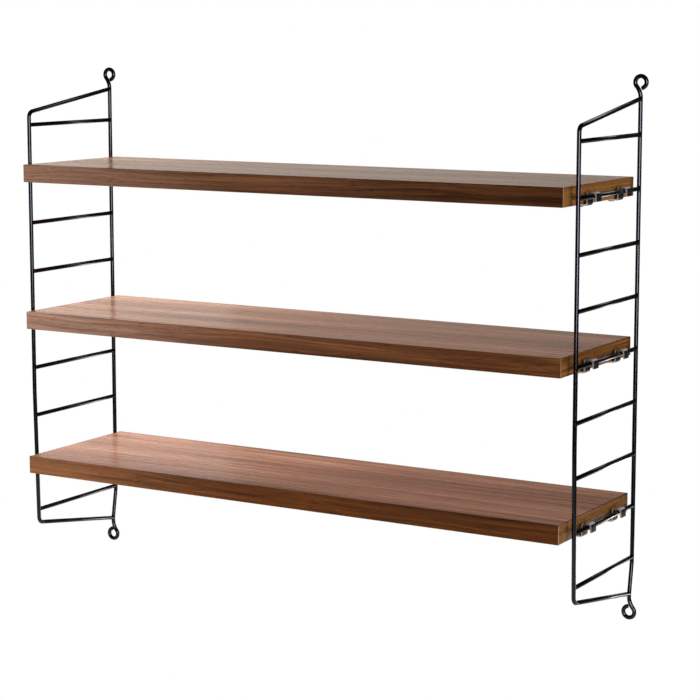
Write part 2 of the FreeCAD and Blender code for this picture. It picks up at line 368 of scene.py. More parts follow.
fillet_verts, fillet_faces = fillet_ring()
fillet = new_object("fillet_shape", fillet_verts, (), fillet_faces)
top_slope = math.atan2(top_arm_root.z - top_corner.z, -top_corner.y)
bottom_slope = math.atan2(bottom_corner.z - bottom_arm_root.z, bottom_arm_root.y - bottom_corner.y)
for side in sides:
    x = ladder_x[side]
    joints, aims = [], []
    for step in rung_steps:
        joints += [(x, front_wire_y(rung_z[step]), rung_z[step]), (x, 0, rung_z[step])]
        aims += [(0, 0, 0), (0, 0, math.pi)]
    joints += [(x, 0, top_arm_root.z), (x, bottom_arm_root.y, bottom_arm_root.z)]
    aims += [(-top_slope, 0, math.pi), (bottom_slope, 0, math.pi)]
    welds = new_object(f"{side}_weld_fillets", joints)
    welds.data.attributes.new("aim", "FLOAT_VECTOR", "POINT").data.foreach_set(
        "vector", [angle for turns in aims for angle in turns])
    grow(welds, fillet_tree, {"Fillet": fillet, "Finish": powder_coat})
    welds.data.shade_smooth()
    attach(welds, "ladders")
bpy.data.objects.remove(fillet)


# Board cores
# The boards are 16 mm particle board, pressed from wood chips and glue, and covered on all sides. The raw
# board shows only inside the pilot holes of the clip screws.
shelves = ("upper", "middle", "lower")
# Raw particle board: matt, a straw-coloured mosaic of chips about 2 mm across
particle_board, tree, shader, place = new_material("raw_particle_board")
shader.inputs["Roughness"].default_value = 0.85
chips = add_node(tree, "ShaderNodeTexVoronoi", None, {"Vector": place, "Scale": 1 / (1.8 * mm)})
tint = add_node(tree, "ShaderNodeValToRGB", None, {"Fac": chips.outputs["Color"]})
tint.color_ramp.elements[0].color = linear("#8d6f4b")
tint.color_ramp.elements[1].color = linear("#cdb48c")
tree.links.new(tint.outputs["Color"], shader.inputs["Base Color"])
for shelf in shelves:
    core = frame["nodes"][f"{shelf}_shelf_core"]
    core.data.materials.clear()
    core.data.materials.append(particle_board)


# Veneers and edge bands
# Each board is faced above and below with 0.6 mm walnut veneer and edged with 1 mm bands of the same wood:
# front and rear bands over the full length, end bands between them. All are glued, eased by hand and satin
# lacquered.
veneer_arris = 0.06 * mm
band_easing = 0.4 * mm
easing_steps = 4
arris_angle = math.radians(60)
# How far in from a board's left end it turns paler and greyer: partly paler wood, partly painted light
left_paling_reach = 330 * mm


def walnut(name, tones, shine, figure, wander, line_depth, grain_turn=0, log_start=0, pale_end=0,
           pale_tone="#926d55"):
    """Walnut under satin lacquer, its grain along X after a turn about Z.

    figure is the spacing of the growth lines, wander how far they sway and log_start where along the log
    the piece was cut, all in millimetres. line_depth is how dark the lines are, and pale_end how far the
    left end turns towards pale_tone, both from 0 to 1; that paling is partly paler wood, partly painted
    light.
    """
    material, tree, shader, place = new_material(name)
    shader.inputs["Specular IOR Level"].default_value = shine
    along = add_node(tree, "ShaderNodeMapping", None, {
        "Vector": place, "Location": (log_start, 0, 0), "Rotation": (0, 0, grain_turn),
        "Scale": (1 / mm, 1 / mm, 1 / mm)})
    # The tree's slow growth bends the grain over a few hundred millimetres
    wide = add_node(tree, "ShaderNodeMapping", None, {
        "Vector": along.outputs["Vector"], "Scale": (1 / 260, 1 / 70, 1 / 70)})
    sway = add_node(tree, "ShaderNodeTexNoise", None, {
        "Vector": wide.outputs["Vector"], "Scale": 1, "Detail": 1.5})
    swayed = add_node(tree, "ShaderNodeVectorMath", {"operation": "MULTIPLY_ADD"}, {
        0: sway.outputs["Color"], 1: (0, wander, wander), 2: along.outputs["Vector"]})
    # Patches of tone a few rings wide, streaks narrower than a ring, bundles of fibres and short fine pores
    layers = {}
    for label, length, width, detail in (
            ("patches", 420, 3 * figure, 2), ("streaks", 300, 0.45 * figure, 3),
            ("fibres", 160, 0.16 * figure, 2), ("pores", 9, 0.6, 0)):
        stretch = add_node(tree, "ShaderNodeMapping", None, {
            "Vector": swayed.outputs["Vector"], "Scale": (1 / length, 1 / width, 1 / width)})
        noise = add_node(tree, "ShaderNodeTexNoise", None, {
            "Vector": stretch.outputs["Vector"], "Scale": 1, "Detail": detail, "Roughness": 0.55})
        layers[label] = noise.outputs["Fac"]
    tone = add_node(tree, "ShaderNodeMix", {"data_type": "FLOAT"}, {
        "Factor": 0.5, "A": layers["patches"], "B": layers["streaks"]})
    tint = add_node(tree, "ShaderNodeValToRGB", None, {"Fac": tone.outputs["Result"]})
    ramp = tint.color_ramp.elements
    ramp[0].position = 0.36
    ramp[1].position = 0.64
    for at in (0.46, 0.54):
        ramp.new(at)
    for stop, code in zip(ramp, tones):
        stop.color = linear(code)
    # Growth lines one figure apart: each ring darkens slowly to its late wood, then starts pale again
    across = add_node(tree, "ShaderNodeVectorMath", {"operation": "DOT_PRODUCT"}, {
        0: swayed.outputs["Vector"], 1: (0, 1 / figure, 1 / figure)})
    ring = add_node(tree, "ShaderNodeMath", {"operation": "FRACT"}, {0: across.outputs["Value"]})
    late = add_node(tree, "ShaderNodeMapRange", {"interpolation_type": "SMOOTHSTEP"}, {
        "Value": ring.outputs["Value"], "From Min": 0.45, "From Max": 0.97,
        "To Min": 0, "To Max": line_depth})
    shown = add_node(tree, "ShaderNodeMapRange", None, {
        "Value": layers["patches"], "From Min": 0.58, "From Max": 0.4, "To Min": 0.25, "To Max": 1})
    line = add_node(tree, "ShaderNodeMath", {"operation": "MULTIPLY"}, {
        0: late.outputs["Result"], 1: shown.outputs["Result"]})
    early = add_node(tree, "ShaderNodeMath", {"operation": "SUBTRACT"}, {0: 1, 1: line.outputs["Value"]})
    shade = add_node(tree, "ShaderNodeMapRange", None, {
        "Value": layers["fibres"], "From Min": 0.3, "From Max": 0.7, "To Min": 0.74, "To Max": 1.26})
    open_pore = add_node(tree, "ShaderNodeMapRange", None, {
        "Value": layers["pores"], "From Min": 0.66, "From Max": 0.74, "To Min": 1, "To Max": 0.6})
    shades = add_node(tree, "ShaderNodeMath", {"operation": "MULTIPLY"}, {
        0: shade.outputs["Result"], 1: open_pore.outputs["Result"]})
    lined = add_node(tree, "ShaderNodeMath", {"operation": "MULTIPLY"}, {
        0: shades.outputs["Value"], 1: early.outputs["Value"]})
    # The left end of a board turns paler and greyer, and is plain by its middle: partly paler wood, partly
    # painted light and sheen from the left
    here = add_node(tree, "ShaderNodeSeparateXYZ", None, {"Vector": place})
    left_light_paling = add_node(tree, "ShaderNodeMapRange", {"interpolation_type": "SMOOTHSTEP"}, {
        "Value": here.outputs["X"], "From Min": -left_paling_reach, "From Max": 0,
        "To Min": pale_end, "To Max": 0})
    toned = add_node(tree, "ShaderNodeMix", {"data_type": "RGBA"}, {
        "Factor": left_light_paling.outputs["Result"], "A": tint.outputs["Color"], "B": linear(pale_tone)})
    grained = add_node(tree, "ShaderNodeVectorMath", {"operation": "SCALE"}, {
        0: toned.outputs["Result"], "Scale": lined.outputs["Value"]})
    gloss = add_node(tree, "ShaderNodeMapRange", None, {
        "Value": layers["streaks"], "From Min": 0.3, "From Max": 0.7, "To Min": 0.22, "To Max": 0.3})
    height = add_node(tree, "ShaderNodeMath", {"operation": "MULTIPLY_ADD"}, {
        0: layers["fibres"], 1: 0.3, 2: open_pore.outputs["Result"]})
    relief = add_node(tree, "ShaderNodeBump", None, {
        "Strength": 0.3, "Distance": 0.04 * mm, "Height": height.outputs["Value"]})
    tree.links.new(grained.outputs["Vector"], shader.inputs["Base Color"])
    tree.links.new(gloss.outputs["Result"], shader.inputs["Roughness"])
    tree.links.new(relief.outputs["Normal"], shader.inputs["Normal"])
    return material


# Walnut veneer: brown with a pink cast, straight streaky grain and a satin lacquer that goes pale at low
# angles. The lower board's leaves are a shade darker, a copy of the same wood in painted shade
pink_brown = ("#93674b", "#b07a5a", "#c38b6b", "#d8a282")
painted_shade_brown = ("#8d6047", "#a97256", "#bb8266", "#cf977c")
walnut_veneers = {}
for shelf, tones in zip(shelves, (pink_brown, pink_brown, painted_shade_brown)):
    walnut_veneers[shelf] = walnut(
        f"walnut_{shelf}_veneer", tones, shine=0.65, figure=11, wander=11, line_depth=0.15, log_start=300)
# Walnut edge bands: dark, with grain along the band. Each board's bands are a copy of one wood in their own
# tones, which paint the light on that board: the upper and middle ones greyer, with painted sheen, the lower
# one more saturated. Their left ends turn paler and greyer, partly paler wood, partly painted light and
# sheen
walnut_bands = {}
for shelf, log_start, tones, pale_end, pale_tone in (
        ("upper", 550, ("#341d0d", "#4c2b14", "#573219", "#674122"), 0.45, "#8a6c5c"),
        ("middle", 550, ("#3d2210", "#583118", "#653b1e", "#774b27"), 0.7, "#917263"),
        ("lower", 700, ("#381b03", "#512805", "#5d2f06", "#6d3d0d"), 0.45, "#8f6244")):
    walnut_bands[shelf] = walnut(
        f"walnut_{shelf}_band", tones, shine=0.2, figure=7, wander=18, line_depth=0.3, log_start=log_start,
        pale_end=pale_end, pale_tone=pale_tone)
# Walnut end bands: a golden brown strip with close lines, grain along the band
walnut_end_band = walnut(
    "walnut_end_band", ("#613c17", "#7c4f25", "#875829", "#946a38"), shine=0.25, figure=5, wander=5,
    line_depth=0.3, grain_turn=math.pi / 2)
# Sawn end of a band: cut across the grain, so paler, with no growth lines
sawn_end = walnut(
    "walnut_sawn_end", ("#94734f", "#a28160", "#ac8c6a", "#b89a77"), shine=0.25, figure=6, wander=6,
    line_depth=0)


def sheet(name, node, easing, finish, end_finish=None):
    """Sheet of wood in a CAD node's box, its arrises taken off, and rounded where faces in easing meet."""
    low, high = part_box(node)
    block = bmesh.new()
    bmesh.ops.create_cube(block, size=1)
    for vert in block.verts:
        vert.co = [(low[at] + high[at]) / 2 + vert.co[at] * (high[at] - low[at]) for at in range(3)]
    outer = [edge for edge in block.edges if easing and all(
        any((face.normal - Vector(way)).length < 0.01 for way in easing) for face in edge.link_faces)]
    for face in block.faces:
        face.material_index = 1 if end_finish and abs(face.normal.x) > 0.9 else 0
    bmesh.ops.bevel(
        block, geom=outer, offset=band_easing, segments=easing_steps, profile=0.5, affect="EDGES",
        material=-1)
    sharp = [edge for edge in block.edges if edge.calc_face_angle(0) > arris_angle]
    bmesh.ops.bevel(block, geom=sharp, offset=veneer_arris, segments=1, affect="EDGES", material=-1)
    obj = new_object(name, [])
    block.to_mesh(obj.data)
    block.free()
    obj.data.materials.append(finish)
    if end_finish:
        obj.data.materials.append(end_finish)
    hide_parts(node)
    return obj


for shelf in shelves:
    up, down = (0, 0, 1), (0, 0, -1)
    veneer, strip = walnut_veneers[shelf], walnut_bands[shelf]
    leaves = [
        sheet(f"{shelf}_top_leaf", f"{shelf}_shelf_top_veneer", [], veneer),
        sheet(f"{shelf}_under_leaf", f"{shelf}_shelf_bottom_veneer", [], veneer)]
    bands = [
        sheet(f"{shelf}_front_band", f"{shelf}_shelf_front_edge", [up, down, (0, -1, 0)], strip, sawn_end),
        sheet(f"{shelf}_rear_band", f"{shelf}_shelf_rear_edge", [up, down, (0, 1, 0)], strip, sawn_end),
        sheet(f"{shelf}_left_band", f"{shelf}_shelf_left_edge", [up, down, (-1, 0, 0)], walnut_end_band),
        sheet(f"{shelf}_right_band", f"{shelf}_shelf_right_edge", [up, down, (1, 0, 0)], walnut_end_band)]
    for piece in leaves + bands:
        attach(piece, f"{shelf}_shelf")


# Hook clips
# Stamped from 1.4 mm steel strip: a flange under the board, a narrower leg, an ear beside the board's end
# and a hook that drops over the rung. The strip is enamelled black before stamping, so the cut edges are
# bare and bright. The top of the hook's crown is coloured the same bright steel, a painted highlight.
clip_sheet = 1.4 * mm
clip_width = 15.5 * mm
clip_leg_width = 11 * mm
clip_bend = 1 * mm
clip_stand_off = 2.3 * mm
flange_length = 24 * mm
flange_round = 3 * mm
hook_width = 10.5 * mm
hook_relief = 0.8 * mm
relief_depth = 1.2 * mm
hook_clearance = 0.3 * mm
shoulder_drop = 2.2 * mm
tongue_drop = 4.7 * mm
tongue_round = 0.8 * mm
ear_rise = 3.9 * mm
ear_round = 3.4 * mm
shoulder_round = 0.5 * mm
clip_arris = 0.16 * mm
leg_fold_steps = 8
hook_fold_steps = 18
fold_tolerance = 0.001 * mm
# How steeply a crown face must look up to take the painted highlight
crown_highlight_slope = 0.7
crease_angle = math.radians(35)
board_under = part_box("upper_shelf_bottom_veneer")[0].z
rung_over_board = rung_z[2] - board_under
front_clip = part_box("upper_right_front_clip")
rear_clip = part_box("upper_right_rear_clip")
clip_y = [(box[0].y + box[1].y) / 2 for box in (front_clip, rear_clip)]
board_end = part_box("upper_shelf_right_edge")[1].x

# The flat strip is laid out by distance along it from the flange's inner end, and across from its middle
leg_turn_start = flange_length + clip_stand_off - clip_bend
leg_turn = (clip_bend + clip_sheet / 2) * math.pi / 2
riser_start = leg_turn_start + leg_turn
spring = riser_start + rung_over_board - clip_bend
hook_r = wire_r + hook_clearance + clip_sheet / 2
hook_end = spring + hook_r * math.pi
half = clip_width / 2
ear_side = half - hook_width - hook_relief
hook_side = half - hook_width
leg_side = clip_leg_width - half


def rounded(corners):
    """Outline with round corners; each corner is a point across and along, and a radius or zero."""
    outline = []
    for at, (across, along, radius) in enumerate(corners):
        corner = Vector((across, along, 0))
        if not radius:
            outline.append(corner)
            continue
        before = Vector((*corners[at - 1][:2], 0))
        after = Vector((*corners[(at + 1) % len(corners)][:2], 0))
        outline += bent_line([before, corner, after], [radius])[1:-1]
    return outline


def folded(across, along):
    """Where a point of the flat strip's middle lies in the bent clip; x is outboard of the board's end."""
    if along <= leg_turn_start:
        return Vector((along - flange_length, across, -clip_sheet / 2))
    if along <= riser_start:
        turn = (along - leg_turn_start) / leg_turn * math.pi / 2
        reach = clip_bend + clip_sheet / 2
        x = clip_stand_off - clip_bend + reach * math.sin(turn)
        return Vector((x, across, clip_bend - reach * math.cos(turn)))
    riser_x = clip_stand_off + clip_sheet / 2
    if along <= spring or across < hook_side - hook_relief / 2:
        return Vector((riser_x, across, clip_bend + along - riser_start))
    if along <= hook_end:
        turn = (along - spring) / hook_r
        x = riser_x + hook_r - hook_r * math.cos(turn)
        return Vector((x, across, rung_over_board + hook_r * math.sin(turn)))
    return Vector((riser_x + 2 * hook_r, across, rung_over_board - (along - hook_end)))


blank = rounded([
    (-half, 0, flange_round), (half, 0, flange_round),
    (half, flange_length, 0), (leg_side, flange_length, 0),
    (leg_side, spring - shoulder_drop, 0), (half, spring - shoulder_drop, shoulder_round),
    (half, hook_end + tongue_drop, tongue_round), (hook_side, hook_end + tongue_drop, tongue_round),
    (hook_side, spring - relief_depth, 0), (ear_side, spring - relief_depth, 0),
    (ear_side, spring + ear_rise, shoulder_round), (-half, spring + ear_rise, ear_round)])
strip = bmesh.new()
strip.faces.new([strip.verts.new(point) for point in blank])
leg_folds = [leg_turn_start + leg_turn * step / leg_fold_steps for step in range(leg_fold_steps + 1)]
hook_folds = [spring + hook_r * math.pi * step / hook_fold_steps for step in range(hook_fold_steps + 1)]
for fold in leg_folds + hook_folds + [flange_length, spring - shoulder_drop, spring - relief_depth]:
    bmesh.ops.bisect_plane(
        strip, geom=strip.verts[:] + strip.edges[:] + strip.faces[:], dist=fold_tolerance,
        plane_co=(0, fold, 0), plane_no=(0, 1, 0))
for vert in strip.verts:
    vert.co = folded(vert.co.x, vert.co.y)
clip = new_object("clip_shape", [])
strip.to_mesh(clip.data)
strip.free()
wall = clip.modifiers.new("sheet", "SOLIDIFY")
wall.thickness = clip_sheet
wall.offset = 0
wall.use_even_offset = True
wall.material_offset_rim = 1
arris = clip.modifiers.new("arris", "BEVEL")
arris.width = clip_arris
arris.segments = 2
arris.limit_method = "ANGLE"
arris.angle_limit = math.radians(50)

# Black enamel baked on steel strip: hard, smooth and nearly black, with a blue cast and a low-angle shine
enamel, tree, shader, place = new_material("black_enamelled_strip")
cloud = add_node(tree, "ShaderNodeTexNoise", None, {"Vector": place, "Scale": 1 / (4 * mm), "Detail": 3})
tint = add_node(tree, "ShaderNodeValToRGB", None, {"Fac": cloud.outputs["Fac"]})
tint.color_ramp.elements[0].position = 0.3
tint.color_ramp.elements[0].color = linear("#131217")
tint.color_ramp.elements[1].position = 0.7
tint.color_ramp.elements[1].color = linear("#1f1d22")
satin = add_node(tree, "ShaderNodeMapRange", None, {
    "Value": cloud.outputs["Fac"], "From Min": 0.3, "From Max": 0.7, "To Min": 0.28, "To Max": 0.42})
tree.links.new(tint.outputs["Color"], shader.inputs["Base Color"])
tree.links.new(satin.outputs["Result"], shader.inputs["Roughness"])

# Bare steel, sheared by the punch: bright, with fine scores that break up its shine. On the top of the
# hook's crown the same colour is a painted highlight
steel_edge_and_highlight, tree, shader, place = new_material("sheared_steel_edge")
shader.inputs["Metallic"].default_value = 0.4
scores = add_node(tree, "ShaderNodeTexNoise", None, {"Vector": place, "Scale": 1 / (0.3 * mm), "Detail": 2})
tint = add_node(tree, "ShaderNodeValToRGB", None, {"Fac": scores.outputs["Fac"]})
tint.color_ramp.elements[0].color = linear("#c9c2b8")
tint.color_ramp.elements[1].color = linear("#efe9e0")
dull = add_node(tree, "ShaderNodeMapRange", None, {
    "Value": scores.outputs["Fac"], "From Min": 0.3, "From Max": 0.7, "To Min": 0.32, "To Max": 0.5})
tree.links.new(tint.outputs["Color"], shader.inputs["Base Color"])
tree.links.new(dull.outputs["Result"], shader.inputs["Roughness"])

for finish in (enamel, steel_edge_and_highlight):
    clip.data.materials.append(finish)
settled(clip)
# Upward faces at the top of the hook's crown get the bright steel as a painted highlight; the rim faces are
# the bare cut edges
hook_crown_z = rung_over_board + wire_r
bare = []
for face in clip.data.polygons:
    crown_highlight = face.normal.z > crown_highlight_slope and face.center.z > hook_crown_z
    bare.append(crown_highlight or face.material_index == 1)
clip.data.attributes.new("bare", "BOOLEAN", "FACE").data.foreach_set("value", bare)


def at_clip_places(tree, given, instance):
    """Copies of an instance at a board's four clip places, those on the left turned round, as one mesh."""
    places = add_node(tree, "GeometryNodeMeshGrid", None, {
        "Size X": given.outputs["Board length"], "Size Y": given.outputs["Clip spacing"],
        "Vertices X": 2, "Vertices Y": 2})
    spot = add_node(tree, "GeometryNodeInputPosition")
    spot_parts = add_node(tree, "ShaderNodeSeparateXYZ", None, {"Vector": spot.outputs["Position"]})
    is_left = add_node(tree, "ShaderNodeMath", {"operation": "LESS_THAN"}, {
        0: spot_parts.outputs["X"], 1: 0})
    half_turn = add_node(tree, "ShaderNodeMath", {"operation": "MULTIPLY"}, {
        0: is_left.outputs["Value"], 1: math.pi})
    turn = add_node(tree, "ShaderNodeCombineXYZ", None, {"Z": half_turn.outputs["Value"]})
    facing = add_node(tree, "FunctionNodeEulerToRotation", None, {"Euler": turn.outputs["Vector"]})
    copies = add_node(tree, "GeometryNodeInstanceOnPoints", None, {
        "Points": places.outputs["Mesh"], "Instance": instance, "Rotation": facing.outputs["Rotation"]})
    fixed = add_node(tree, "GeometryNodeTransform", None, {
        "Geometry": copies.outputs["Instances"], "Translation": given.outputs["Middle"]})
    whole = add_node(tree, "GeometryNodeRealizeInstances", None, {"Geometry": fixed.outputs["Geometry"]})
    return whole.outputs["Geometry"]


clip_tree, given = new_tree("clips_under_board", {
    "Clip": "Geometry", "Board length": "Float", "Clip spacing": "Float", "Middle": "Vector",
    "Face": "Material", "Bare": "Material"})
faced = add_node(clip_tree, "GeometryNodeSetMaterial", None, {
    "Geometry": at_clip_places(clip_tree, given, given.outputs["Clip"]), "Material": given.outputs["Face"]})
# The bare cut edges, and the top of the hook's crown as a painted highlight, take the bright steel
is_edge_or_highlight = add_node(clip_tree, "GeometryNodeInputNamedAttribute", {"data_type": "BOOLEAN"}, {"Name": "bare"})
edges_and_highlight = add_node(clip_tree, "GeometryNodeSetMaterial", None, {
    "Geometry": faced.outputs["Geometry"], "Selection": is_edge_or_highlight.outputs["Attribute"],
    "Material": given.outputs["Bare"]})
add_node(clip_tree, "NodeGroupOutput", None, {"Result": edges_and_highlight.outputs["Geometry"]})

for shelf in shelves:
    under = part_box(f"{shelf}_shelf_bottom_veneer")[0].z
    clips = new_object(f"{shelf}_hook_clips", [])
    clips.data = clip.data.copy()
    grow(clips, clip_tree, {
        "Board length": 2 * board_end, "Clip spacing": clip_y[1] - clip_y[0],
        "Middle": (0, sum(clip_y) / 2, under), "Face": enamel, "Bare": steel_edge_and_highlight})
    clips.data.shade_smooth()
    clips.data.set_sharp_from_angle(angle=crease_angle)
    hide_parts(*[f"{shelf}_{side}_{end}_clip" for side in sides for end in ("front", "rear")])
    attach(clips, f"{shelf}_shelf")
bpy.data.objects.remove(clip)


# Clip screws
# Two pan-head wood screws hold each clip's flange to the underside of the board. They are cold headed from
# steel wire with a cross recess, have a rolled thread and are zinc plated.
screw_head_r = 3.2 * mm
screw_rim = 0.8 * mm
screw_head_height = 2 * mm
screw_flat_r = 2.05 * mm
crown_steps = 4
rim_ease_rise = 0.08 * mm
rim_ease_depth = 0.096 * mm
screw_tip_r = 0.1 * mm
screw_shank_r = 1.5 * mm
screw_length = 12 * mm
screw_point = 3 * mm
thread_pitch = 1.3 * mm
thread_depth = 0.35 * mm
thread_crest = 0.1
thread_flank = 0.25
recess_r = 1.7 * mm
recess_half = 0.45 * mm
recess_depth = 1.1 * mm
recess_taper = 0.6
recess_lip = 0.02 * mm
screw_first_inset = 6.5 * mm
screw_spacing = 11 * mm
screw_steps = 24
thread_steps = 9


def wood_screw_shape():
    """Screw whose head bears on z = 0 and points down; the shank rises with a wound thread to its tip."""
    shape = bmesh.new()
    rise = screw_head_height - screw_rim
    crown_r = (screw_head_r ** 2 + rise ** 2) / (2 * rise)
    crown_z = crown_r - screw_head_height
    fall = screw_head_r - screw_flat_r
    crown = [screw_flat_r + fall * step / crown_steps for step in range(crown_steps + 1)]
    profile = [(radius, crown_z - math.sqrt(crown_r ** 2 - radius ** 2)) for radius in crown]
    profile += [(screw_head_r, -rim_ease_rise), (screw_head_r - rim_ease_depth, 0), (screw_shank_r, 0)]
    turns = [2 * math.pi * step / screw_steps for step in range(screw_steps)]
    rings = [[shape.verts.new((radius * math.cos(turn), radius * math.sin(turn), z)) for turn in turns]
             for radius, z in profile]
    rows = round(screw_length / thread_pitch * thread_steps)
    for row in range(1, rows):
        z = screw_length * row / rows
        taper = min(1, (screw_length - z) / screw_point)
        ring = []
        for turn in turns:
            lead = (z / thread_pitch - turn / (2 * math.pi)) % 1
            flank = min(1, max(0, (abs(lead - 0.5) - thread_crest) / thread_flank))
            cut = thread_depth * flank * min(1, z / (2 * thread_pitch))
            radius = max(screw_tip_r, (screw_shank_r - cut) * taper)
            ring.append(shape.verts.new((radius * math.cos(turn), radius * math.sin(turn), z)))
        rings.append(ring)
    for ring, after in zip(rings, rings[1:]):
        for at in range(screw_steps):
            beside = (at + 1) % screw_steps
            shape.faces.new((ring[at], ring[beside], after[beside], after[at]))
    tip = shape.verts.new((0, 0, screw_length))
    for at in range(screw_steps):
        shape.faces.new((rings[-1][at], rings[-1][(at + 1) % screw_steps], tip))
    # The crown is filled round a cross, whose walls taper in to the recess floor
    top_z = profile[0][1]
    cross = []
    for quarter in range(4):
        turn = Quaternion((0, 0, 1), quarter * math.pi / 2)
        cross += [turn @ Vector((recess_r, -recess_half, 0)), turn @ Vector((recess_r, recess_half, 0)),
                  turn @ Vector((recess_half, recess_half, 0))]
    lip = [shape.verts.new((*point.xy, top_z - recess_lip)) for point in cross]
    floor = [shape.verts.new((*(point.xy * recess_taper), top_z + recess_depth)) for point in cross]
    rim = rings[0]
    rim_edges = [shape.edges.get(pair) for pair in zip(rim, rim[1:] + rim[:1])]
    lip_edges = [shape.edges.new(pair) for pair in zip(lip, lip[1:] + lip[:1])]
    bmesh.ops.bridge_loops(shape, edges=rim_edges + lip_edges)
    for at in range(len(cross)):
        beside = (at + 1) % len(cross)
        shape.faces.new((lip[at], lip[beside], floor[beside], floor[at]))
    shape.faces.new(floor)
    bmesh.ops.recalc_face_normals(shape, faces=shape.faces)
    return shape


# Zinc-plated steel: cold-headed screws with rolled threads and a bright, faintly cloudy zinc skin
zinc_steel, tree, shader, place = new_material("zinc_plated_steel")
shader.inputs["Metallic"].default_value = 1
skin = add_node(tree, "ShaderNodeTexNoise", None, {"Vector": place, "Scale": 1 / (0.8 * mm), "Detail": 3})
tint = add_node(tree, "ShaderNodeValToRGB", None, {"Fac": skin.outputs["Fac"]})
tint.color_ramp.elements[0].color = linear("#a9acb0")
tint.color_ramp.elements[1].color = linear("#cfd0d1")
dull = add_node(tree, "ShaderNodeMapRange", None, {
    "Value": skin.outputs["Fac"], "From Min": 0.3, "From Max": 0.7, "To Min": 0.25, "To Max": 0.4})
tree.links.new(tint.outputs["Color"], shader.inputs["Base Color"])
tree.links.new(dull.outputs["Result"], shader.inputs["Roughness"])

screw_tree, given = new_tree("screws_in_clips", {
    "Screw": "Geometry", "Board length": "Float", "Clip spacing": "Float", "First inset": "Float",
    "Screw spacing": "Float", "Middle": "Vector", "Finish": "Material"})
inset = add_node(screw_tree, "ShaderNodeMath", {"operation": "MULTIPLY"}, {
    0: given.outputs["First inset"], 1: -1})
step_in = add_node(screw_tree, "ShaderNodeMath", {"operation": "MULTIPLY"}, {
    0: given.outputs["Screw spacing"], 1: -1})
first = add_node(screw_tree, "ShaderNodeCombineXYZ", None, {"X": inset.outputs["Value"]})
offset = add_node(screw_tree, "ShaderNodeCombineXYZ", None, {"X": step_in.outputs["Value"]})
pair_spots = add_node(screw_tree, "GeometryNodeMeshLine", None, {
    "Count": 2, "Start Location": first.outputs["Vector"], "Offset": offset.outputs["Vector"]})
pair = add_node(screw_tree, "GeometryNodeInstanceOnPoints", None, {
    "Points": pair_spots.outputs["Mesh"], "Instance": given.outputs["Screw"]})
plated = add_node(screw_tree, "GeometryNodeSetMaterial", None, {
    "Geometry": at_clip_places(screw_tree, given, pair.outputs["Instances"]),
    "Material": given.outputs["Finish"]})
add_node(screw_tree, "NodeGroupOutput", None, {"Result": plated.outputs["Geometry"]})

for shelf in shelves:
    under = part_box(f"{shelf}_shelf_bottom_veneer")[0].z - clip_sheet
    screws = new_object(f"{shelf}_pan_screws", [])
    shape = wood_screw_shape()
    shape.to_mesh(screws.data)
    shape.free()
    grow(screws, screw_tree, {
        "Board length": 2 * board_end, "Clip spacing": clip_y[1] - clip_y[0],
        "First inset": screw_first_inset, "Screw spacing": screw_spacing,
        "Middle": (0, sum(clip_y) / 2, under), "Finish": zinc_steel})
    screws.data.shade_smooth()
    screws.data.set_sharp_from_angle(angle=crease_angle)
    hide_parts(f"{shelf}_shelf_clip_screws")
    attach(screws, f"{shelf}_shelf")


# Studio
# A plain white floor lies well below the hung shelf, in a white surround. Three softboxes light the shelf
# and show in no reflection. Four cards show only as reflections: one as a sheen on the lacquer, and three
# as thin lines along the coated wires.
floor_z = -1.0
floor_r = 2.5
shadow_r = 0.2
white_r = 1.1
floor_mesh = bmesh.new()
bmesh.ops.create_circle(floor_mesh, cap_ends=True, segments=96, radius=floor_r)
bmesh.ops.translate(floor_mesh, verts=floor_mesh.verts, vec=(0, 0, floor_z))
floor = new_object("studio_floor", [])
floor_mesh.to_mesh(floor.data)
floor_mesh.free()
# Matt white paint: to the eye and in reflections it is plain white, with a soft shadow below the shelf
white_floor, tree, shader, place = new_material("white_painted_floor")
shader.inputs["Base Color"].default_value = linear("#ebebeb")
shader.inputs["Roughness"].default_value = 0.9
ray = add_node(tree, "ShaderNodeLightPath")
glow = add_node(tree, "ShaderNodeEmission", None, {"Color": (1, 1, 1, 1), "Strength": 1})
level = add_node(tree, "ShaderNodeVectorMath", {"operation": "MULTIPLY"}, {0: place, 1: (1, 1, 0)})
reach = add_node(tree, "ShaderNodeVectorMath", {"operation": "LENGTH"}, {0: level.outputs["Vector"]})
whiten = add_node(tree, "ShaderNodeMapRange", {"interpolation_type": "SMOOTHSTEP"}, {
    "Value": reach.outputs["Value"], "From Min": shadow_r, "From Max": white_r,
    "To Min": 0.75, "To Max": 1})
mirrored = add_node(tree, "ShaderNodeMath", {"operation": "MAXIMUM"}, {
    0: ray.outputs["Is Glossy Ray"], 1: ray.outputs["Is Transmission Ray"]})
looked_at = add_node(tree, "ShaderNodeMath", {"operation": "MAXIMUM"}, {
    0: ray.outputs["Is Camera Ray"], 1: mirrored.outputs["Value"]})
seen = add_node(tree, "ShaderNodeMath", {"operation": "MULTIPLY"}, {
    0: looked_at.outputs["Value"], 1: whiten.outputs["Result"]})
mixed = add_node(tree, "ShaderNodeMixShader", None, {
    0: seen.outputs["Value"], 1: shader.outputs["BSDF"], 2: glow.outputs["Emission"]})
tree.links.new(mixed.outputs["Shader"], tree.nodes["Material Output"].inputs["Surface"])
floor.data.materials.append(white_floor)

